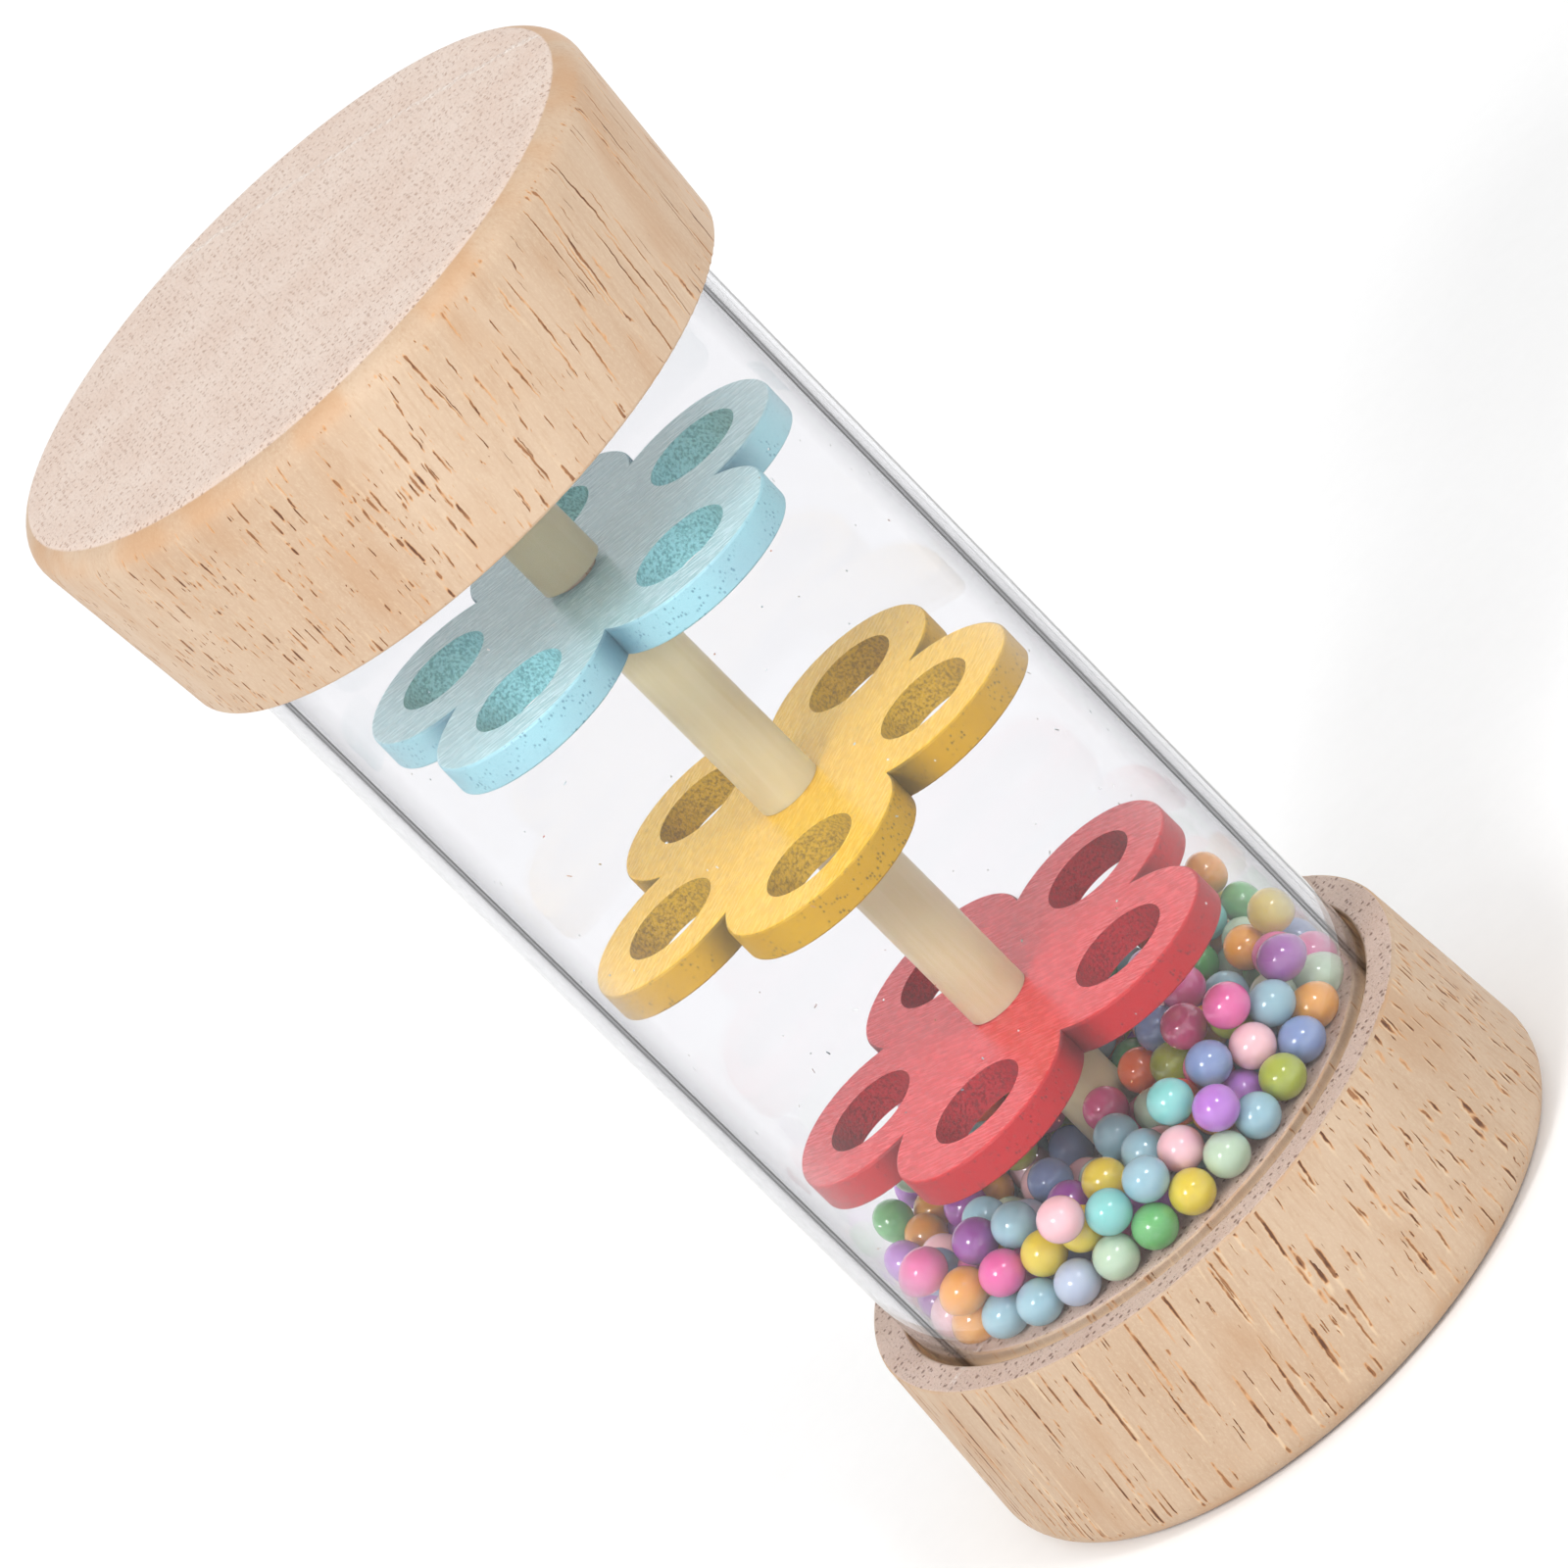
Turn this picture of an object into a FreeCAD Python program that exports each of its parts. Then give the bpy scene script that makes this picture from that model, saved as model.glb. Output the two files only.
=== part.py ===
"""Mini rainstick: a clear tube between two wooden caps, with flower discs and loose beads.

Millimetres, +Z up.  The stick stands upright on its lower cap, and the origin is the
centre of that cap's flat end face.  Every piece is written to parts/NODE.step.
"""
import FreeCAD, Part
import math
import os
import random

Vector = FreeCAD.Vector
AXIS = Vector(0, 0, 1)

# Overall.
LENGTH = 123.3
CAP_HEIGHT = 19.5

# Turned caps: slightly tapered, wider at the end that the stick stands on.
CAP_END_RADIUS = 30.0
CAP_RIM_RADIUS = 28.4
CAP_END_ROUND = 2.6
CAP_RIM_ROUND = 0.3
GROOVE_DEPTH = 5.0
GROOVE_OUTER_GAP = 0.3
GROOVE_INNER_GAP = 0.2
PLUG_EDGE_ROUND = 0.25

# Clear tube, seated on the floor of both grooves.
TUBE_RADIUS = 25.1
TUBE_WALL = 1.8
TUBE_EDGE_BREAK = 0.15

# Centre rod, glued into a blind hole in each plug.
ROD_RADIUS = 2.0
ROD_HOLE_DEPTH = 9.0
ROD_HOLE_GAP = 0.02
ROD_END_GAP = 0.3
ROD_END_CHAMFER = 0.4

# Plastic spacer sleeves, tight on the rod.
SPACER_RADIUS = 2.95
SPACER_BORE_GAP = 0.02
SPACER_BOTTOM_LENGTH = 14.0
SPACER_LONG_LENGTH = 23.0

# Flower discs, free to spin on the rod between the sleeves.
FLOWER_THICKNESS = 3.0
PETALS = 5
PETAL_OFFSET = 13.8
PETAL_RADIUS = 8.9
HUB_RADIUS = 11.0
HOLE_OFFSET = 14.45
HOLE_RADIUS = 4.45
FLOWER_BORE_GAP = 0.1
FLOWER_EDGE_ROUND = 0.25
FLOWER_END_PLAY = 0.1
TOP_END_PLAY = 0.55

# How each loose disc has come to rest: its turn about the rod, and a slight lean.
FLOWER_POSE = {
    "red": {"turn": 25.0, "lean": 1.4, "lean_towards": 110.0},
    "yellow": {"turn": 43.8, "lean": 1.3, "lean_towards": 70.0},
    "blue": {"turn": 12.6, "lean": 1.4, "lean_towards": 20.0},
}

# Loose beads, let in one by one.
BEAD_RADIUS = 1.95
BEAD_GAP = 0.04
BEAD_TOTAL = 205
BEAD_SEED = 7
BEAD_COLOURS = ["blush", "hot_pink", "magenta", "purple", "lavender", "periwinkle", "pale_blue",
                "sky_blue", "aqua", "mint", "green", "lime", "yellow", "amber", "orange"]

# The lowest row stands on the plug, shoulder to shoulder against the tube.  Its front half:
WALL_ROW_BEADS = 33
WALL_ROW_START = -177.0
WALL_ROW = ["purple", "blush", "amber", "sky_blue", "sky_blue", "pale_blue", "mint", "green",
            "yellow", "mint", "sky_blue", "lime", "periwinkle", "amber", "mint", "hot_pink"]
FLOOR_FILL_TRIES = 400

# Beads that lie in plain view above it: direction from the rod, then distance from the rod.
SECOND_LAYER = [
    ("blush", -172, 21), ("hot_pink", -161, 21), ("amber", -150, 21), ("hot_pink", -139, 21),
    ("yellow", -128, 21), ("yellow", -117, 21), ("aqua", -106, 21), ("sky_blue", -95, 21),
    ("blush", -84, 21), ("amber", -73, 21), ("blush", -62, 21), ("magenta", -51, 18),
    ("mint", -41, 21), ("sky_blue", -30, 21), ("hot_pink", -19, 21), ("pale_blue", -134, 17),
    ("yellow", -106, 16), ("sky_blue", -93, 18), ("mint", -103, 12), ("orange", -86, 15),
    ("purple", -120, 12), ("amber", -50, 14), ("periwinkle", -57, 18),
    ("lime", -40, 18), ("hot_pink", -150, 17), ("amber", -165, 17),
]
THIRD_LAYER = [
    ("blush", -111, 21), ("lavender", -79, 19), ("aqua", -68, 19), ("hot_pink", -49, 19),
    ("purple", -38, 18), ("sky_blue", -29, 20), ("sky_blue", -92, 13), ("mint", -75, 12),
    ("lime", -59, 13), ("magenta", -43, 14), ("lavender", -19, 14), ("orange", -65, 8),
    ("magenta", -95, 9), ("periwinkle", -35, 8), ("hot_pink", -28, 11), ("amber", -13, 18),
    ("yellow", -12, 21), ("periwinkle", -130, 13), ("sky_blue", -139, 15), ("sky_blue", -165, 14),
    ("purple", -141, 18), ("periwinkle", -152, 18), ("amber", -177, 18), ("amber", 169, 19),
    ("hot_pink", -165, 20), ("lavender", -178, 21), ("mint", 5, 21), ("green", 12, 21),
    ("amber", 172, 21),
]

# The rest go in behind the rod, and none may come to rest above this height.
HEAP_LIMIT = 29.5
BACK_OF_ROD = 4.0
ROLL_DIRECTIONS = 12
ROLL_FIRST_STEP = 0.8
ROLL_LAST_STEP = 0.01

# Derived sizes.
TUBE_INNER_RADIUS = TUBE_RADIUS - TUBE_WALL
PLUG_RADIUS = TUBE_INNER_RADIUS - GROOVE_INNER_GAP
GROOVE_RADIUS = TUBE_RADIUS + GROOVE_OUTER_GAP
GROOVE_FLOOR = CAP_HEIGHT - GROOVE_DEPTH
ROD_HOLE_FLOOR = CAP_HEIGHT - ROD_HOLE_DEPTH


def save(name, shape):
    """Write one node, and say how big it is."""
    shape.exportStep(os.path.join("parts", name + ".step"))
    print("%-22s %3d solid(s) %10.1f mm3" % (name, len(shape.Solids), shape.Volume))


def revolve(points):
    """Turn a closed profile of (radius, height) points about the Z axis."""
    corners = [Vector(radius, 0, height) for radius, height in points]
    wire = Part.makePolygon(corners + corners[:1])
    return Part.Face(wire).revolve(Vector(0, 0, 0), AXIS, 360)


def ring_edges(shape, radius, height):
    """The circular edges of one radius at one height."""
    return [edge for edge in shape.Edges
            if isinstance(edge.Curve, Part.Circle)
            and abs(edge.Curve.Radius - radius) < 0.001
            and abs(edge.Curve.Center.z - height) < 0.001]


def ring(outer, inner, low, high):
    """A plain sleeve between two heights."""
    outside = Part.makeCylinder(outer, high - low, Vector(0, 0, low))
    return outside.cut(Part.makeCylinder(inner, high - low, Vector(0, 0, low)))


def make_cap():
    """The lower cap: end face at z = 0, tube groove and plug facing up."""
    hole_radius = ROD_RADIUS + ROD_HOLE_GAP
    cap = revolve([
        (0, 0),
        (CAP_END_RADIUS, 0),
        (CAP_RIM_RADIUS, CAP_HEIGHT),
        (GROOVE_RADIUS, CAP_HEIGHT),
        (GROOVE_RADIUS, GROOVE_FLOOR),
        (PLUG_RADIUS, GROOVE_FLOOR),
        (PLUG_RADIUS, CAP_HEIGHT),
        (hole_radius, CAP_HEIGHT),
        (hole_radius, ROD_HOLE_FLOOR),
        (0, ROD_HOLE_FLOOR),
    ])
    cap = cap.makeFillet(CAP_END_ROUND, ring_edges(cap, CAP_END_RADIUS, 0))
    rim = ring_edges(cap, CAP_RIM_RADIUS, CAP_HEIGHT) + ring_edges(cap, GROOVE_RADIUS, CAP_HEIGHT)
    cap = cap.makeFillet(CAP_RIM_ROUND, rim)
    return cap.makeFillet(PLUG_EDGE_ROUND, ring_edges(cap, PLUG_RADIUS, CAP_HEIGHT))


def turned_over(shape):
    """The same piece at the other end of the stick."""
    copy = shape.copy()
    copy.rotate(Vector(0, 0, LENGTH / 2), Vector(1, 0, 0), 180)
    return copy


def make_tube():
    tube = ring(TUBE_RADIUS, TUBE_INNER_RADIUS, GROOVE_FLOOR, LENGTH - GROOVE_FLOOR)
    ends = []
    for radius in (TUBE_RADIUS, TUBE_INNER_RADIUS):
        for height in (GROOVE_FLOOR, LENGTH - GROOVE_FLOOR):
            ends += ring_edges(tube, radius, height)
    return tube.makeChamfer(TUBE_EDGE_BREAK, ends)


def make_rod():
    low = ROD_HOLE_FLOOR + ROD_END_GAP
    high = LENGTH - low
    rod = Part.makeCylinder(ROD_RADIUS, high - low, Vector(0, 0, low))
    ends = ring_edges(rod, ROD_RADIUS, low) + ring_edges(rod, ROD_RADIUS, high)
    return rod.makeChamfer(ROD_END_CHAMFER, ends)


def make_flower():
    """One disc about the origin, with a petal hole on the +X side and its underside at z = 0."""
    blank = Part.makeCylinder(HUB_RADIUS, FLOWER_THICKNESS)
    bore = Part.makeCylinder(ROD_RADIUS + FLOWER_BORE_GAP, FLOWER_THICKNESS)
    openings = [bore]
    for petal in range(PETALS):
        angle = 2 * math.pi * petal / PETALS
        outward = Vector(math.cos(angle), math.sin(angle), 0)
        blank = blank.fuse(Part.makeCylinder(PETAL_RADIUS, FLOWER_THICKNESS, outward * PETAL_OFFSET))
        openings.append(Part.makeCylinder(HOLE_RADIUS, FLOWER_THICKNESS, outward * HOLE_OFFSET))
    blank = blank.removeSplitter()
    rims = [edge for edge in blank.Edges if abs(edge.tangentAt(edge.FirstParameter).z) < 0.5]
    blank = blank.makeFillet(FLOWER_EDGE_ROUND, rims)
    return blank.cut(openings)


def place_flower(flower, low, turn, lean, lean_towards):
    """Turn a disc about the rod, then lean it down towards one side about its own centre."""
    placed = flower.copy()
    placed.rotate(Vector(0, 0, 0), AXIS, turn)
    middle = Vector(0, 0, FLOWER_THICKNESS / 2)
    direction = math.radians(lean_towards)
    hinge = Vector(-math.sin(direction), math.cos(direction), 0)
    placed.rotate(middle, hinge, lean)
    placed.translate(Vector(0, 0, low))
    return placed


class BeadHeap:
    """Beads dropped in one by one: each rolls downhill until nothing lower is in reach."""

    def __init__(self):
        self.reach = 2 * BEAD_RADIUS + BEAD_GAP
        self.floor = CAP_HEIGHT + BEAD_RADIUS + BEAD_GAP
        self.nearest = SPACER_RADIUS + BEAD_RADIUS + BEAD_GAP
        self.farthest = TUBE_INNER_RADIUS - BEAD_RADIUS - BEAD_GAP
        self.places = []
        self.colours = []

    def between_walls(self, x, y):
        """The nearest point to (x, y) that keeps clear of the sleeve and the tube."""
        radius = max(math.hypot(x, y), 0.001)
        kept = min(max(radius, self.nearest), self.farthest)
        return x * kept / radius, y * kept / radius

    def resting_height(self, x, y):
        """How high a bead's centre stands if it is lowered at (x, y)."""
        height = self.floor
        for px, py, pz in self.places:
            apart = (px - x) ** 2 + (py - y) ** 2
            if apart < self.reach ** 2:
                height = max(height, pz + math.sqrt(self.reach ** 2 - apart))
        return height

    def drop(self, colour, angle, radius, limit=HEAP_LIMIT):
        """Let one bead roll to rest.  It is taken out again if it lies too high."""
        x, y = self.between_walls(radius * math.cos(angle), radius * math.sin(angle))
        height = self.resting_height(x, y)
        step = ROLL_FIRST_STEP
        while step > ROLL_LAST_STEP:
            lowest = (height, x, y)
            for k in range(ROLL_DIRECTIONS):
                turn = 2 * math.pi * k / ROLL_DIRECTIONS
                nx, ny = self.between_walls(x + step * math.cos(turn), y + step * math.sin(turn))
                lowest = min(lowest, (self.resting_height(nx, ny), nx, ny))
            if lowest[0] < height - 0.001 * step:
                height, x, y = lowest
            else:
                step /= 2
        if height < limit:
            self.places.append((x, y, height))
            self.colours.append(colour)


def pour_beads():
    """Bead centres by colour."""
    chance = random.Random(BEAD_SEED)
    heap = BeadHeap()
    start = math.radians(WALL_ROW_START)
    for k in range(WALL_ROW_BEADS):
        colour = WALL_ROW[k] if k < len(WALL_ROW) else chance.choice(BEAD_COLOURS)
        heap.drop(colour, start + 2 * math.pi * k / WALL_ROW_BEADS, heap.farthest)
    for _ in range(FLOOR_FILL_TRIES):
        radius = heap.farthest * math.sqrt(chance.random())
        angle = 2 * math.pi * chance.random()
        heap.drop(chance.choice(BEAD_COLOURS), angle, radius, heap.floor + BEAD_GAP)
    for colour, degrees, radius in SECOND_LAYER + THIRD_LAYER:
        heap.drop(colour, math.radians(degrees), radius)
    while len(heap.places) < BEAD_TOTAL:
        radius = heap.farthest * math.sqrt(chance.random())
        angle = 2 * math.pi * chance.random()
        if radius * math.sin(angle) > BACK_OF_ROD:
            heap.drop(chance.choice(BEAD_COLOURS), angle, radius)
    top = max(place[2] for place in heap.places) + BEAD_RADIUS
    print("bead heap: %d beads, top at z = %.2f" % (len(heap.places), top))
    grouped = {name: [] for name in BEAD_COLOURS}
    for colour, place in zip(heap.colours, heap.places):
        grouped[colour].append(place)
    return grouped


def main():
    os.makedirs("parts", exist_ok=True)

    cap = make_cap()
    save("bottom_cap", cap)
    save("top_cap", turned_over(cap))
    save("tube", make_tube())
    save("centre_rod", make_rod())

    # The stack on the rod, from the bottom plug up.
    bore = ROD_RADIUS + SPACER_BORE_GAP
    level = CAP_HEIGHT
    flower = make_flower()
    sleeves = [("spacer_bottom", SPACER_BOTTOM_LENGTH), ("spacer_yellow_red", SPACER_LONG_LENGTH),
               ("spacer_blue_yellow", SPACER_LONG_LENGTH)]
    for (sleeve, length), (colour, pose) in zip(sleeves, FLOWER_POSE.items()):
        save(sleeve, ring(SPACER_RADIUS, bore, level, level + length))
        level += length + FLOWER_END_PLAY
        save(colour + "_flower", place_flower(flower, level, **pose))
        level += FLOWER_THICKNESS + FLOWER_END_PLAY
    level += TOP_END_PLAY - FLOWER_END_PLAY
    save("spacer_top", ring(SPACER_RADIUS, bore, level, LENGTH - CAP_HEIGHT))

    for colour, places in pour_beads().items():
        spheres = [Part.makeSphere(BEAD_RADIUS, Vector(*place)) for place in places]
        save("beads_" + colour, Part.makeCompound(spheres))


main()
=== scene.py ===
"""Mini rainstick: looks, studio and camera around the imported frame.  Metres, +Z up."""
import math
import random

import bmesh
import bpy
from mathutils import Matrix, Vector


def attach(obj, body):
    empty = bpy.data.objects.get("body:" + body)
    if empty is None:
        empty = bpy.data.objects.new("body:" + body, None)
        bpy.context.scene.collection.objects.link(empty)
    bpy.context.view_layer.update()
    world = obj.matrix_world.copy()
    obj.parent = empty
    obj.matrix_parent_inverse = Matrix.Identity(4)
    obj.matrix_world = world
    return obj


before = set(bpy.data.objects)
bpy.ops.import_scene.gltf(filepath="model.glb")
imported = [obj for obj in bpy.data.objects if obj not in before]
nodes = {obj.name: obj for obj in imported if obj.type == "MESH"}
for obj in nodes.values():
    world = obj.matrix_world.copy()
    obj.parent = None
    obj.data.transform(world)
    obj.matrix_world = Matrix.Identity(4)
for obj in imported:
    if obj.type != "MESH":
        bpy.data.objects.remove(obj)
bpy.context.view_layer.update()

scene = bpy.context.scene
MM = 0.001

# Places on the stick and sizes of its dust flecks, in millimetres, as in the CAD model.
MIDDLE_HEIGHT = 61.65
PETALS = 5
PETAL_HOLE_REACH = 14.45
DUST_COUNT = 150
DUST_RADIUS = 23.24
DUST_HEIGHTS = (33, 102)
DUST_THICKNESS = 0.04
DUST_LENGTHS = (0.12, 0.15, 0.18, 0.22, 0.42)
DUST_WIDTHS = (0.07, 0.14)

# Masks, in millimetres: where each starts, and where it is full.
PETAL_HOLE_WALL = (4.95, 4.75)
NOTCH_REACH = (12.5, 13.5)
TUBE_OUTSIDE = (24.0, 24.4)
GROOVE_INSIDE = (22.0, 22.5)
GROOVE_OUTSIDE = (27.5, 27.0)
# The groove's top and floor are distances from the middle height, the same in both caps.
GROOVE_TOP = (42.6, 43.6)
GROOVE_FLOOR = (48.5, 48.0)


def srgb(red, green, blue):
    """A colour as seen on a screen, 0 to 255, as the linear colour that shaders take."""
    linear = []
    for value in (red, green, blue):
        value /= 255
        linear.append(value / 12.92 if value <= 0.04045 else ((value + 0.055) / 1.055) ** 2.4)
    return (*linear, 1.0)


class Shader:
    """A node material put together from short calls.  Lengths inside it are millimetres."""

    def __init__(self, name):
        self.material = bpy.data.materials.new(name)
        self.material.use_nodes = True
        self.tree = self.material.node_tree
        self.surface = self.tree.nodes["Principled BSDF"]
        coords = self.node("TexCoord")
        self.place = self.scaled(coords.outputs["Object"], (1000, 1000, 1000))
        self.normal = coords.outputs["Normal"]

    def put(self, socket, value):
        if isinstance(value, bpy.types.NodeSocket):
            self.tree.links.new(value, socket)
        else:
            socket.default_value = value

    def node(self, kind, inputs=None, **settings):
        made = self.tree.nodes.new("ShaderNode" + kind)
        for key, value in settings.items():
            setattr(made, key, value)
        for key, value in (inputs or {}).items():
            self.put(made.inputs[key], value)
        return made

    def math(self, operation, a, b=0.0):
        return self.node("Math", {0: a, 1: b}, operation=operation).outputs[0]

    def vector(self, operation, a, b=(0, 0, 0)):
        return self.node("VectorMath", {0: a, 1: b}, operation=operation).outputs["Vector"]

    def length(self, vector):
        return self.node("VectorMath", {0: vector}, operation="LENGTH").outputs["Value"]

    def scaled(self, vector, factors):
        return self.vector("MULTIPLY", vector, factors)

    def split(self, vector):
        return self.node("SeparateXYZ", {0: vector}).outputs

    def join(self, x, y, z=0.0):
        return self.node("CombineXYZ", {0: x, 1: y, 2: z}).outputs[0]

    def step(self, value, start, end, low=0.0, high=1.0):
        """Smoothly from low at start to high at end."""
        made = self.node("MapRange", {"Value": value, "From Min": start, "From Max": end,
                                      "To Min": low, "To Max": high},
                         interpolation_type="SMOOTHSTEP")
        return made.outputs["Result"]

    def mix(self, factor, a, b):
        made = self.node("Mix", data_type="RGBA")
        self.put(made.inputs[0], factor)
        self.put(made.inputs[6], a)
        self.put(made.inputs[7], b)
        return made.outputs[2]

    def between(self, factor, a, b):
        """A plain number between a and b."""
        return self.node("Mix", {0: factor, 2: a, 3: b}, data_type="FLOAT").outputs[0]

    def ramp(self, value, stops):
        """A tone that follows a value through (position, tone) stops."""
        made = self.node("ValToRGB", {0: value})
        curve = made.color_ramp
        while len(curve.elements) < len(stops):
            curve.elements.new(0.5)
        for element, (position, tone) in zip(curve.elements, stops):
            element.position = position
            element.color = (*tone, 1.0)
        return made.outputs[0]

    def noise(self, vector, scale=1.0, detail=2.0, roughness=0.5):
        made = self.node("TexNoise", {"Vector": vector, "Scale": scale, "Detail": detail,
                                      "Roughness": roughness})
        return made.outputs[0]

    def spots(self, vector, largest, rare=0.0, soft=0.6, flat=False):
        """Scattered spots of mixed sizes, in cells; rare is the share of cells left empty."""
        made = self.node("TexVoronoi", {"Vector": vector, "Scale": 1.0},
                         voronoi_dimensions="2D" if flat else "3D")
        own = self.split(made.outputs["Color"])[0]
        radius = self.math("MULTIPLY", self.step(own, rare, 1.0), largest)
        radius = self.math("MAXIMUM", radius, 0.004)
        return self.step(made.outputs["Distance"], radius, self.math("MULTIPLY", radius, soft))

    def bump(self, height, distance, strength=1.0):
        made = self.node("Bump", {"Height": height, "Distance": distance * MM,
                                  "Strength": strength})
        return made.outputs[0]

    def finish(self, **sockets):
        for key, value in sockets.items():
            self.put(self.surface.inputs[key.replace("_", " ")], value)
        return self.material


def wood(name, shift, coarse, side_tones, end_tones, end_pore, dots_per_mm, ring):
    """Pale turned hardwood with its grain along Z: streaked sides and a dotted end grain.

    coarse sets how big and dense the pores are.  ring is a growth line: the x and y of its
    middle, and its radius.
    """
    made = Shader(name)
    place = made.vector("ADD", made.place, shift)
    x, y, z = made.split(place)
    leaning = made.join(made.math("SUBTRACT", x, made.math("MULTIPLY", z, 0.11)), y, z)
    wander = made.noise(made.scaled(leaning, (0.5, 0.5, 0.07)), 1.0, 2.0)
    wander = made.math("MULTIPLY", made.math("SUBTRACT", wander, 0.5), 1.3)
    ragged = made.noise(made.scaled(leaning, (1.1, 1.1, 1.1)), 1.0, 2.0)
    ragged = made.math("MULTIPLY", made.math("SUBTRACT", ragged, 0.5), 0.3)
    aside = made.math("ADD", wander, ragged)
    grain = made.vector("ADD", leaning, made.join(aside, aside))
    facing = made.math("ABSOLUTE", made.split(made.normal)[2])
    end = made.step(facing, 0.885, 0.925)
    specks = made.noise(made.scaled(place, (1.0, 1.0, 0.5)), 5.0, 2.0, 0.7)

    # Long grain: soft bands, a fine mottle, and open pores as thin torn streaks.
    bands = made.noise(made.scaled(leaning, (0.13, 0.13, 0.012)), 1.0, 3.0)
    fibres = made.noise(made.scaled(leaning, (2.6, 2.6, 0.14)), 1.0, 3.0, 0.6)
    blotches = made.noise(made.scaled(leaning, (0.16, 0.16, 0.07)), 1.0, 2.0)
    side = made.mix(made.step(bands, 0.3, 0.7), *side_tones)
    side = made.mix(made.step(fibres, 0.45, 0.75, 0.0, 0.25), side, srgb(154, 115, 80))
    side = made.mix(made.step(specks, 0.45, 0.75, 0.0, 0.35), side, srgb(195, 176, 150))
    side = made.mix(made.step(blotches, 0.5, 0.72, 0.0, 0.35), side, srgb(165, 124, 86))
    apart = 1.0 / coarse
    wide, tall = 3.2 * apart, 0.07 * apart
    widest, rare = 0.32 + 0.15 * coarse, 0.6 - 0.3 * coarse
    long_pores = made.spots(made.scaled(grain, (wide, wide, tall)), widest, rare, 0.25)
    mid_pores = made.spots(made.scaled(made.vector("ADD", grain, (7.3, 3.1, 5.7)),
                                       (4.2, 4.2, 0.14)), 0.38, 0.6, 0.25)
    # Painted highlight: a pale copy of the pores, shifted a little aside, stands for the lit
    # lip beside each pore.
    beside = made.vector("ADD", grain, (0.13, 0.13, 0.0))
    painted_pore_highlight = made.spots(made.scaled(beside, (wide, wide, tall)), widest, rare, 0.25)
    tint = made.noise(made.scaled(leaning, (1.0, 1.0, 0.4)), 1.0, 2.0)
    pores = made.math("MAXIMUM", long_pores, mid_pores)
    gaps = made.step(tint, 0.46 - 0.12 * coarse, 0.62 - 0.12 * coarse, 0.15, 1.0)
    pores = made.math("MULTIPLY", pores, gaps)
    upright = made.step(facing, 0.55, 0.25)
    pores = made.math("MULTIPLY", pores, upright)
    painted_pore_highlight = made.math("MULTIPLY", painted_pore_highlight, made.math("MULTIPLY", gaps, upright))
    # The painted highlight beside the pores, stronger on coarser wood.
    side = made.mix(made.math("MULTIPLY", painted_pore_highlight, coarse - 1.0), side, srgb(212, 188, 156))
    side = made.mix(made.step(pores, 0.0, 0.3, 0.0, 0.55), side, srgb(196, 138, 78))
    side = made.mix(made.step(pores, 0.25, 0.75, 0.0, 0.85), side, srgb(130, 84, 50))
    torn = made.step(tint, 0.58 - 0.1 * coarse, 0.72 - 0.1 * coarse)
    torn = made.math("MULTIPLY", made.step(pores, 0.5, 1.0), torn)
    side = made.mix(made.math("MULTIPLY", torn, 0.85), side, srgb(74, 42, 28))
    burnish = made.math("MULTIPLY", made.step(facing, 0.12, 0.5), made.step(blotches, 0.4, 0.7))
    side = made.mix(made.math("MULTIPLY", burnish, 0.3), side, srgb(188, 142, 97))

    # Painted light: the groove for the tube is painted paler below its first millimetre,
    # standing in for light that its deep shade keeps out.
    raw_x, raw_y, raw_z = made.split(made.place)
    reach = made.length(made.join(raw_x, raw_y))
    from_middle = made.math("ABSOLUTE", made.math("SUBTRACT", raw_z, MIDDLE_HEIGHT))
    ringed = made.math("MULTIPLY", made.step(reach, *GROOVE_INSIDE),
                       made.step(reach, *GROOVE_OUTSIDE))
    sunk = made.math("MULTIPLY", made.step(from_middle, *GROOVE_TOP),
                     made.step(from_middle, *GROOVE_FLOOR))
    side = made.mix(made.math("MULTIPLY", ringed, sunk), side, srgb(248, 212, 172))

    # End grain: cut pores as fine dots, a faint mottle and one pale growth line.
    flat = made.join(x, y)
    clouds = made.noise(flat, 0.13, 4.0, 0.6)
    mottle = made.noise(flat, 2.2, 3.0, 0.7)
    face = made.mix(made.step(clouds, 0.3, 0.7), *end_tones)
    face = made.mix(made.step(mottle, 0.45, 0.7, 0.0, 0.2), face, srgb(192, 155, 127))
    face = made.mix(made.step(specks, 0.42, 0.3, 0.0, 0.3), face, end_pore)
    face = made.mix(made.step(specks, 0.55, 0.7, 0.0, 0.4), face, srgb(222, 208, 197))
    dots = made.spots(made.scaled(flat, (dots_per_mm, dots_per_mm, 1.0)), 0.34, 0.1, 0.4, True)
    pricks = made.spots(made.scaled(flat, (3.1, 3.1, 1.0)), 0.34, 0.2, 0.3, True)
    dots = made.math("MAXIMUM", dots, made.math("MULTIPLY", pricks, 0.5))
    face = made.mix(made.math("MULTIPLY", dots, 0.7), face, end_pore)
    pith = made.vector("SUBTRACT", flat, (ring[0], ring[1], 0.0))
    across = made.length(pith)
    wave = made.noise(flat, 0.35, 2.0)
    across = made.math("ADD", across, made.math("MULTIPLY", wave, 1.6))
    off_line = made.math("ABSOLUTE", made.math("SUBTRACT", across, ring[2] + 0.8))
    line = made.math("MULTIPLY", made.step(off_line, 0.55, 0.15), made.step(mottle, 0.42, 0.6))
    face = made.mix(made.math("MULTIPLY", line, 0.75), face, srgb(226, 217, 209))

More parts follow.
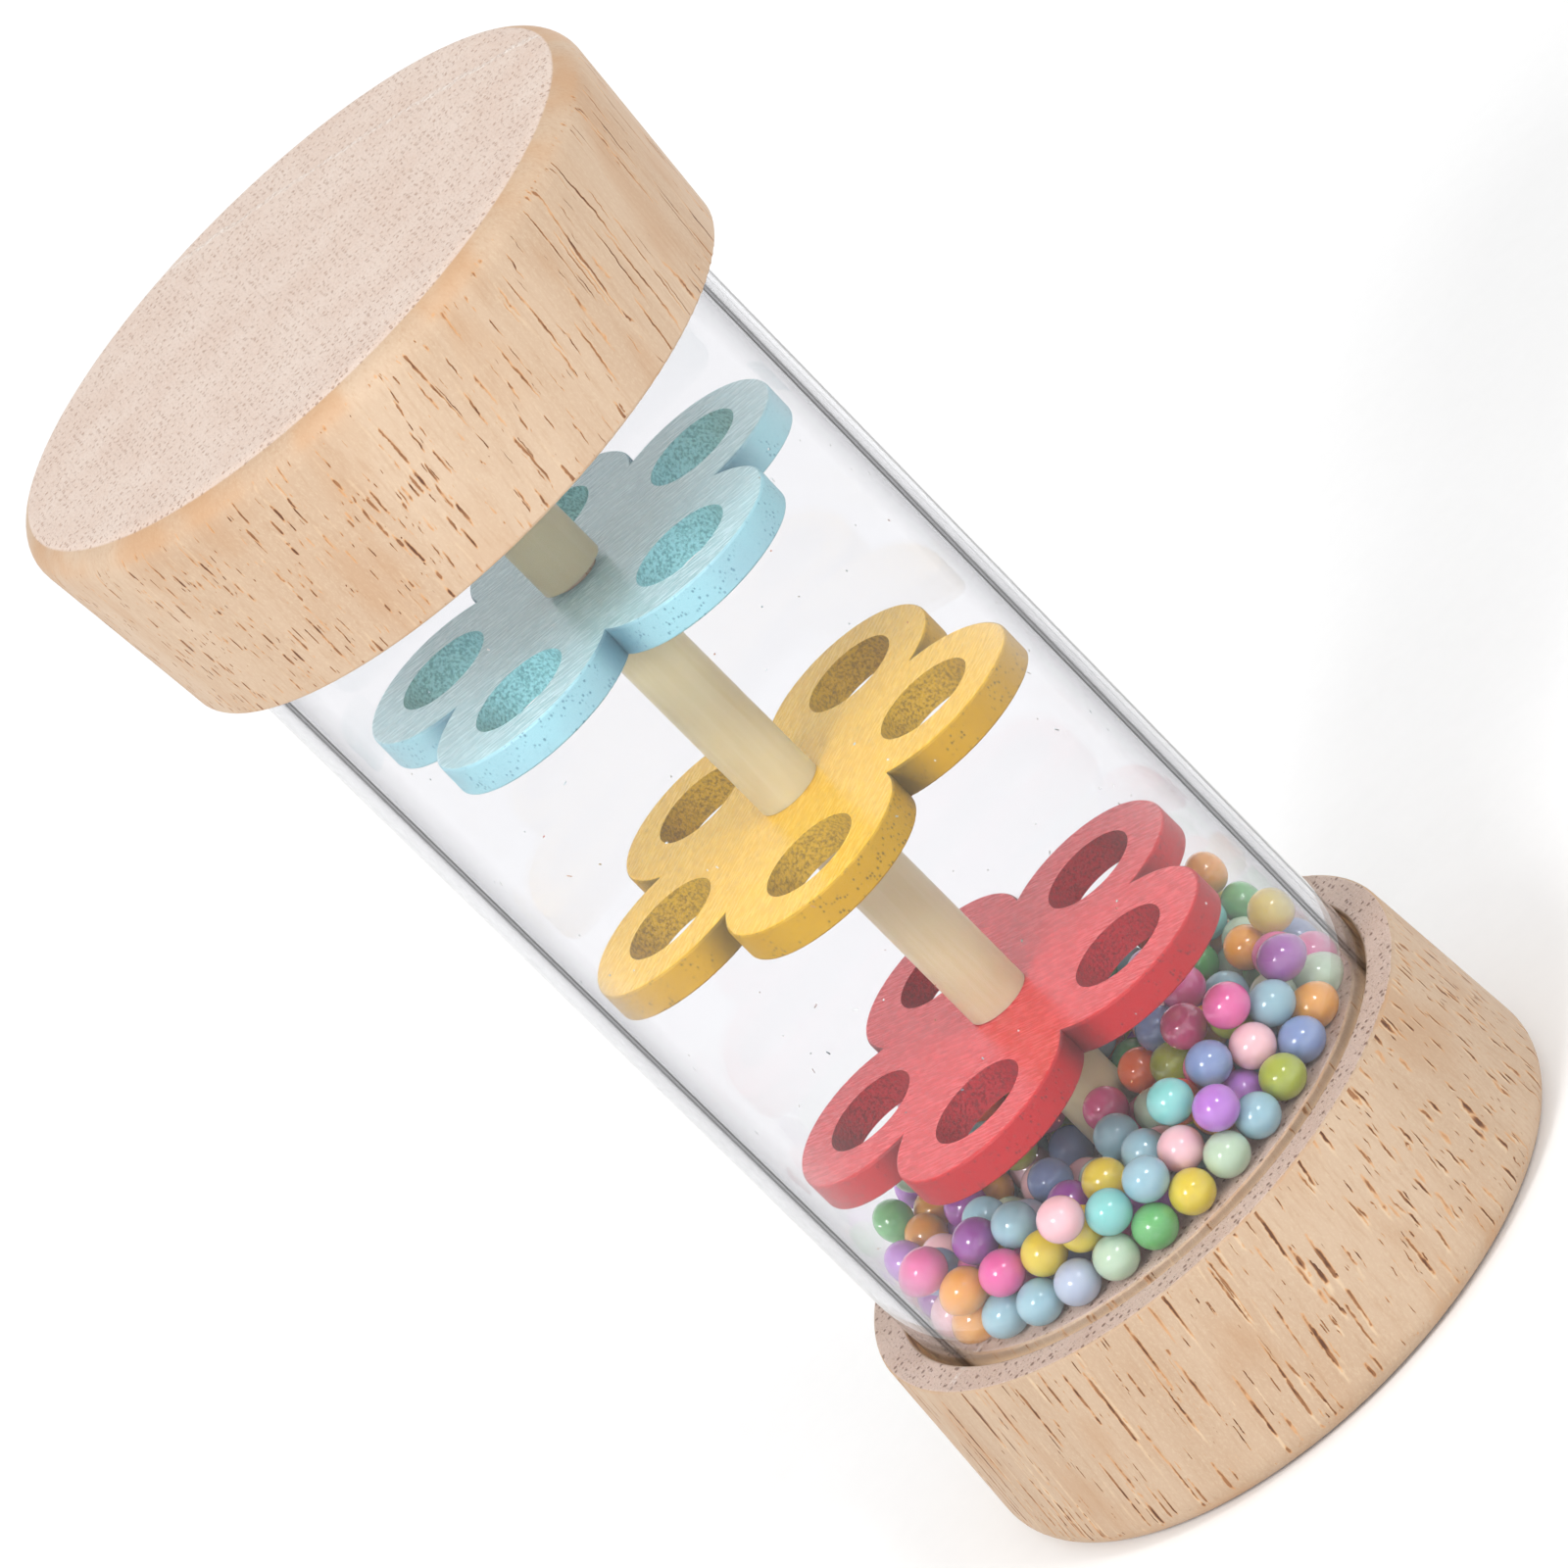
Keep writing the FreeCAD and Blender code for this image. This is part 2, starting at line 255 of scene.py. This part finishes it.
    height = made.math("MULTIPLY", made.between(end, pores, dots), -1.0)
    fuzz = made.math("MULTIPLY", made.between(end, fibres, specks), 0.3)
    raised = made.math("MULTIPLY", made.math("MULTIPLY", line, end), 0.8)
    relief = made.bump(made.math("ADD", made.math("ADD", height, fuzz), raised), 0.1, 0.8)
    rough = made.step(made.between(end, bands, clouds), 0.2, 0.8, 0.5, 0.66)
    return made.finish(Base_Color=made.mix(end, side, face), Roughness=rough, Normal=relief,
                       IOR=1.42)


def painted_flower(name, turn, grain_turn, paint, thin_paint, shaded_rim_paint, worn, wall_light,
                   wall_dark, pit, gloss):
    """Thin brushed paint on a wooden disc: streaked faces, pitted rims and rough hole walls."""
    made = Shader(name)
    x, y, z = made.split(made.place)
    facing = made.math("ABSOLUTE", made.split(made.normal)[2])
    flat = made.step(facing, 0.8, 0.95)

    # Where this point is within its own petal, to tell hole walls and notches from rims.
    petal = math.radians(360 / PETALS)
    around = made.math("SUBTRACT", made.math("ARCTAN2", y, x), math.radians(turn) - petal / 2)
    folded = made.math("SUBTRACT", made.math("FLOORED_MODULO", around, petal), petal / 2)
    reach = made.length(made.join(x, y))
    across = made.math("MULTIPLY", reach, made.math("SINE", folded))
    along = made.math("MULTIPLY", reach, made.math("COSINE", folded))
    along = made.math("SUBTRACT", along, PETAL_HOLE_REACH)
    in_hole = made.step(made.length(made.join(along, across)), *PETAL_HOLE_WALL)
    notch = made.math("MULTIPLY", made.step(made.math("ABSOLUTE", folded), 0.48, 0.6),
                      made.step(reach, *NOTCH_REACH))

    # Brushed faces: fine dashes along the grain, some dark and some worn pale.
    c, s = math.cos(math.radians(grain_turn)), math.sin(math.radians(grain_turn))
    down = made.math("ADD", made.math("MULTIPLY", x, c), made.math("MULTIPLY", y, s))
    over = made.math("SUBTRACT", made.math("MULTIPLY", y, c), made.math("MULTIPLY", x, s))
    brushed = made.join(made.math("MULTIPLY", down, 0.5), made.math("MULTIPLY", over, 3.6), z)
    dashes = made.join(made.math("MULTIPLY", down, 1.3), made.math("MULTIPLY", over, 8.0), z)
    streaks = made.noise(brushed, 1.0, 3.0, 0.65)
    fine = made.noise(dashes, 1.0, 2.0, 0.6)
    clouds = made.noise(made.place, 0.16, 3.0)
    face = made.mix(made.step(streaks, 0.36, 0.66), paint, thin_paint)
    face = made.mix(made.step(clouds, 0.35, 0.7, 0.0, 0.3), face, thin_paint)
    scored = made.step(made.noise(made.place, 0.22, 2.0), 0.38, 0.6, 0.35, 1.0)
    dark = made.math("MULTIPLY", made.step(fine, 0.43, 0.35, 0.0, 0.42), scored)
    pale = made.math("MULTIPLY", made.step(fine, 0.56, 0.66, 0.0, 0.5), scored)
    face = made.mix(dark, face, wall_dark)
    face = made.mix(pale, face, worn)

    # Rims and hole walls: open grain under the paint, and painted shade on the rims.
    crowd = made.step(made.noise(made.place, 0.5, 1.0), 0.4, 0.52, 0.15, 1.0)
    pits = made.spots(made.scaled(made.place, (3.6, 3.6, 2.6)), 0.55, 0.1, 0.4)
    pits = made.math("MULTIPLY", pits, crowd)
    # The rims take a darker copy of the face paint: painted shade on the upright edges.
    rim = made.mix(made.step(clouds, 0.3, 0.7, 0.0, 0.3), shaded_rim_paint, wall_light)
    rim = made.mix(made.math("MULTIPLY", pits, 0.9), rim, pit)
    # The notches between petals are filled darker with the pit colour.
    rim = made.mix(made.math("MULTIPLY", notch, 0.85), rim, pit)
    grit = made.noise(made.place, 3.6, 2.0, 0.6)
    wall = made.mix(made.step(grit, 0.32, 0.62), wall_dark, wall_light)
    rim = made.mix(in_hole, rim, wall)

    colour = made.mix(flat, rim, face)
    rough_height = made.math("ADD", made.math("MULTIPLY", pits, -2.0),
                             made.math("MULTIPLY", made.math("MULTIPLY", grit, in_hole), 5.0))
    height = made.between(flat, rough_height, made.math("ADD", streaks, fine))
    relief = made.bump(height, 0.012, 0.6)
    rough = made.between(flat, 0.55, made.step(streaks, 0.3, 0.7, 0.2, 0.32))
    return made.finish(Base_Color=colour, Roughness=rough, Normal=relief, IOR=gloss)


def bead_plastic(name, colour):
    """Glossy pastel plastic, a little milky, with faint swirls; each bead has its own shade."""
    made = Shader(name)
    own = made.node("NewGeometry").outputs["Random Per Island"]
    swirl = made.noise(made.scaled(made.place, (0.5, 0.5, 0.9)), 1.0, 3.0, 0.55)
    deep = tuple(0.8 * part for part in colour[:3]) + (1.0,)
    pale = tuple(part + 0.1 * (1.0 - part) for part in colour[:3]) + (1.0,)
    shade = made.mix(made.step(swirl, 0.3, 0.7, 0.0, 0.5), colour, pale)
    shade = made.mix(made.step(own, 0.0, 1.0, 0.0, 0.4), shade, deep)
    rough = made.step(swirl, 0.3, 0.7, 0.09, 0.14)
    ripple = made.bump(made.noise(made.place, 0.9, 1.0), 0.02, 0.4)
    return made.finish(Base_Color=shade, Roughness=rough, Normal=ripple, IOR=1.7,
                       Subsurface_Weight=0.9, Subsurface_Radius=(1.0, 0.9, 0.8),
                       Subsurface_Scale=3.2 * MM)


def milky_sleeve(name):
    """Cream translucent extruded plastic with faint draw lines along it."""
    made = Shader(name)
    lines = made.noise(made.scaled(made.place, (1.6, 1.6, 0.05)), 1.0, 3.0)
    clouds = made.noise(made.place, 0.12, 2.0)
    shade = made.mix(made.step(clouds, 0.35, 0.65), srgb(190, 180, 146), srgb(182, 168, 132))
    shade = made.mix(made.step(lines, 0.4, 0.7, 0.0, 0.25), shade, srgb(201, 194, 170))
    scuffs = made.noise(made.place, 1.4, 3.0)
    rough = made.step(scuffs, 0.3, 0.7, 0.28, 0.4)
    relief = made.bump(lines, 0.02, 0.5)
    return made.finish(Base_Color=shade, Roughness=rough, Normal=relief, IOR=1.49,
                       Subsurface_Weight=0.6, Subsurface_Radius=(1.0, 0.85, 0.55),
                       Subsurface_Scale=1.6 * MM)


def acrylic(name):
    """Clear cast acrylic: it bends what is behind it, and thin dark lines are painted along its
    edge, standing in for darker surroundings that the edge bends into view.
    """
    made = Shader(name)
    x, y, _ = made.split(made.place)
    outside = made.step(made.length(made.join(x, y)), *TUBE_OUTSIDE)
    # Painted reflection: on the outside surface the tint goes dark over a narrow band of
    # grazing angles, which draws the edge's dark lines.
    facing = made.node("LayerWeight", {"Blend": 0.5}).outputs["Facing"]
    pane = (0.915, 0.915, 0.93)
    edge = made.ramp(facing, ((0.0, pane), (0.5, pane),
                              (0.58, (0.62, 0.62, 0.64)), (0.66, (0.3, 0.3, 0.32)),
                              (0.666, (0.0, 0.0, 0.0)), (0.676, (0.0, 0.0, 0.0)),
                              (0.686, (0.08, 0.08, 0.09)), (0.697, (0.0, 0.0, 0.0)),
                              (0.707, (0.006, 0.006, 0.007)), (0.724, (0.36, 0.36, 0.38)),
                              (0.76, (0.62, 0.62, 0.65)), (0.82, (0.76, 0.77, 0.81)),
                              (1.0, (0.98, 0.98, 0.99))))
    tint = made.mix(outside, (*pane, 1.0), edge)
    dust = made.noise(made.scaled(made.place, (0.3, 0.3, 0.08)), 1.0, 3.0)
    rough = made.step(dust, 0.55, 0.8, 0.0, 0.02)
    material = made.finish(Base_Color=tint, Roughness=rough, IOR=1.49,
                           Transmission_Weight=0.993, Specular_Tint=(0.4, 0.4, 0.4, 1.0))
    # Lamps shine through to what is inside.
    path = made.node("LightPath").outputs["Is Shadow Ray"]
    clear = made.node("BsdfTransparent", {"Color": (0.96, 0.965, 0.97, 1.0)})
    both = made.node("MixShader", {0: path, 1: made.surface.outputs[0], 2: clear.outputs[0]})
    made.tree.links.new(both.outputs[0], made.tree.nodes["Material Output"].inputs["Surface"])
    return material


def dress(name, material):
    """Give a CAD node its finished material."""
    slots = nodes[name].material_slots
    if not slots:
        nodes[name].data.materials.append(material)
    for slot in slots:
        slot.material = material


CAP_SIDE = (srgb(185, 161, 137), srgb(176, 150, 125))
TOP_END = (srgb(204, 187, 175), srgb(200, 180, 167))
# The bottom rim's end grain takes darker tones than the top's: painted shade.
SHADED_RIM_END = (srgb(195, 173, 160), srgb(189, 165, 151))
dress("top_cap", wood("cap_wood_top", shift=(0.0, 0.0, 0.0), coarse=1.2, side_tones=CAP_SIDE,
                      end_tones=TOP_END, end_pore=srgb(164, 132, 113), dots_per_mm=1.7,
                      ring=(-68.7, -88.5, 131.0)))
dress("bottom_cap", wood("cap_wood_bottom", shift=(31.0, -17.0, 40.0), coarse=1.5,
                         side_tones=CAP_SIDE, end_tones=SHADED_RIM_END, end_pore=srgb(98, 67, 52),
                         dots_per_mm=1.25, ring=(-30.0, 60.0, 95.0)))
dress("centre_rod", wood("rod_wood", shift=(5.0, 9.0, 2.0), coarse=1.0, side_tones=CAP_SIDE,
                         end_tones=SHADED_RIM_END, end_pore=srgb(140, 108, 86), dots_per_mm=1.6,
                         ring=(-30.0, 60.0, 95.0)))
dress("tube", acrylic("clear_acrylic"))
sleeve = milky_sleeve("milky_sleeve")
for name in ("spacer_bottom", "spacer_yellow_red", "spacer_blue_yellow", "spacer_top"):
    dress(name, sleeve)

FLOWERS = {
    "blue": {"turn": 12.6, "grain_turn": -14.0, "gloss": 1.62,
             "paint": srgb(152, 197, 204), "thin_paint": srgb(174, 211, 215),
             "shaded_rim_paint": srgb(136, 178, 188), "worn": srgb(216, 234, 236),
             "wall_light": srgb(146, 210, 216), "wall_dark": srgb(84, 150, 156),
             "pit": srgb(72, 122, 138)},
    "yellow": {"turn": 43.8, "grain_turn": 43.0, "gloss": 1.34,
               "paint": srgb(226, 172, 16), "thin_paint": srgb(229, 182, 46),
               "shaded_rim_paint": srgb(176, 133, 0), "worn": srgb(240, 211, 120),
               "wall_light": srgb(190, 152, 34), "wall_dark": srgb(132, 104, 22),
               "pit": srgb(106, 84, 20)},
    "red": {"turn": 25.0, "grain_turn": -45.0, "gloss": 1.4,
            "paint": srgb(188, 12, 22), "thin_paint": srgb(207, 58, 64),
            "shaded_rim_paint": srgb(168, 6, 16), "worn": srgb(224, 116, 120),
            "wall_light": srgb(170, 26, 38), "wall_dark": srgb(116, 10, 22),
            "pit": srgb(104, 8, 18)},
}
for colour, finish in FLOWERS.items():
    dress(colour + "_flower", painted_flower("painted_" + colour, **finish))

# The gloss adds light of its own, so the plastic takes this share of each colour as seen.
BEAD_SHARE = (0.78, 0.73, 0.72)
BEADS = {
    "blush": srgb(245, 200, 208), "hot_pink": srgb(226, 92, 168), "magenta": srgb(206, 78, 134),
    "purple": srgb(148, 62, 164), "lavender": srgb(186, 122, 220),
    "periwinkle": srgb(124, 152, 200), "pale_blue": srgb(176, 194, 216),
    "sky_blue": srgb(146, 192, 206), "aqua": srgb(130, 212, 208), "mint": srgb(184, 214, 186),
    "green": srgb(88, 178, 96), "lime": srgb(166, 184, 50), "yellow": srgb(222, 204, 44),
    "amber": srgb(228, 158, 4), "orange": srgb(246, 112, 26),
}
for colour, shade in BEADS.items():
    shade = (*(share * part for share, part in zip(BEAD_SHARE, shade[:3])), 1.0)
    dress("beads_" + colour, bead_plastic("bead_" + colour, shade))


def dust_flecks():
    """Specks of paint and wood dust that cling to the inside of the tube, above the beads."""
    chance = random.Random(5)
    lowest, highest = DUST_HEIGHTS
    shape = bmesh.new()
    for _ in range(DUST_COUNT):
        around = Matrix.Rotation(chance.uniform(0, 2 * math.pi), 4, "Z")
        height = lowest + (highest - lowest) * chance.random() ** 1.5
        place = Matrix.Translation((DUST_RADIUS, 0, height))
        spin = Matrix.Rotation(chance.uniform(0, math.pi), 4, "X")
        long = chance.choice(DUST_LENGTHS)
        size = Matrix.Diagonal((DUST_THICKNESS, long, chance.uniform(*DUST_WIDTHS), 1.0))
        bmesh.ops.create_cube(shape, size=1.0, matrix=around @ place @ spin @ size)
    bmesh.ops.scale(shape, vec=(MM, MM, MM), verts=shape.verts)
    mesh = bpy.data.meshes.new("dust_flecks")
    shape.to_mesh(mesh)
    shape.free()
    made = Shader("dust_fleck")
    own = made.node("NewGeometry").outputs["Random Per Island"]
    tone = made.ramp(own, ((0.0, (0.8, 0.8, 0.78)), (0.45, (0.7, 0.72, 0.72)),
                           (0.6, (0.16, 0.3, 0.34)), (0.8, (0.4, 0.26, 0.08)),
                           (1.0, (0.5, 0.08, 0.09))))
    grain = made.noise(made.place, 9.0, 1.0)
    tone = made.mix(made.step(grain, 0.3, 0.7, 0.0, 0.3), tone, srgb(120, 112, 104))
    mesh.materials.append(made.finish(Base_Color=tone, Roughness=0.7))
    flecks = bpy.data.objects.new("dust_flecks", mesh)
    scene.collection.objects.link(flecks)
    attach(flecks, "stick")


dust_flecks()


# Studio.
CENTRE = Vector((0.0, 0.0, MIDDLE_HEIGHT * MM))
FLOOR_RADIUS = 3.0
FLOOR_DROP = 0.02 * MM


def studio_floor():
    """A round sheet of pale paper just under the stick."""
    mesh = bpy.data.meshes.new("studio_floor")
    shape = bmesh.new()
    bmesh.ops.create_circle(shape, cap_ends=True, segments=96, radius=FLOOR_RADIUS)
    shape.to_mesh(mesh)
    shape.free()
    floor = bpy.data.objects.new("studio_floor", mesh)
    floor.location.z = -FLOOR_DROP
    scene.collection.objects.link(floor)
    made = Shader("studio_paper")
    tone = made.mix(made.noise(made.place, 0.4, 2.0), (0.86, 0.86, 0.86, 1.0),
                    (0.88, 0.88, 0.88, 1.0))
    # Painted light: the paper glows, more the further it is from the stick, so that the floor
    # melts into the walls.
    reach = made.length(made.place)
    near, far = made.step(reach, 180, 900, 0.02, 0.22), made.step(reach, 500, 2000, 0.0, 0.7)
    mesh.materials.append(made.finish(Base_Color=tone, Roughness=0.9, Specular_IOR_Level=0.0,
                                      Emission_Color=(1.0, 1.0, 1.0, 1.0),
                                      Emission_Strength=made.math("ADD", near, far)))


def soft_light(name, azimuth, elevation, distance, size, power):
    """A round studio lamp aimed at the middle of the stick."""
    data = bpy.data.lights.new(name, "AREA")
    data.shape = "DISK"
    data.size = size
    data.energy = power
    lamp = bpy.data.objects.new(name, data)
    a, e = math.radians(azimuth), math.radians(elevation)
    away = Vector((math.sin(a) * math.cos(e), -math.cos(a) * math.cos(e), math.sin(e)))
    lamp.location = CENTRE + away * distance
    lamp.rotation_mode = "QUATERNION"
    lamp.rotation_quaternion = (-away).to_track_quat("-Z", "Y")
    scene.collection.objects.link(lamp)


studio_floor()
soft_light("key_right", azimuth=37, elevation=41, distance=1.0, size=0.24, power=2.6)
soft_light("key_left", azimuth=-37, elevation=38, distance=1.0, size=0.26, power=4.6)

world = bpy.data.worlds.new("studio_world")
scene.world = world
world.use_nodes = True
sky = world.node_tree.nodes["Background"]
sky.inputs["Color"].default_value = (1.0, 1.0, 1.0, 1.0)
# White walls all round, brighter than the ceiling.
direction = world.node_tree.nodes.new("ShaderNodeTexCoord")
height = world.node_tree.nodes.new("ShaderNodeSeparateXYZ")
glow = world.node_tree.nodes.new("ShaderNodeMapRange")
for name, value in {"From Min": 0.0, "From Max": 0.75, "To Min": 1.65, "To Max": 0.75}.items():
    glow.inputs[name].default_value = value
world.node_tree.links.new(direction.outputs["Generated"], height.inputs[0])
world.node_tree.links.new(height.outputs["Z"], glow.inputs["Value"])
world.node_tree.links.new(glow.outputs["Result"], sky.inputs["Strength"])
scene.view_settings.view_transform = "Standard"


def photo_camera():
    """Long lens, looking down a little, and rolled so that the stick leans to the left."""
    data = bpy.data.cameras.new("camera")
    data.sensor_width = 36.0
    data.lens = 207.3
    camera = bpy.data.objects.new("camera", data)
    scene.collection.objects.link(camera)
    elevation, tilt, roll = math.radians(21.11), math.radians(0.116), math.radians(44.945)
    distance = 739.36 * MM
    place = CENTRE + Vector((0, -math.cos(elevation), math.sin(elevation))) * distance
    down = elevation - tilt
    forward = Vector((0, math.cos(down), -math.sin(down)))
    right = Vector((1, 0, 0))
    up = right.cross(forward)
    across = right * math.cos(roll) - up * math.sin(roll)
    upward = right * math.sin(roll) + up * math.cos(roll)
    turn = Matrix((across, upward, -forward)).transposed().to_4x4()
    camera.matrix_world = Matrix.Translation(place) @ turn
    data.clip_start, data.clip_end = 0.01, 20.0
    scene.camera = camera


photo_camera()
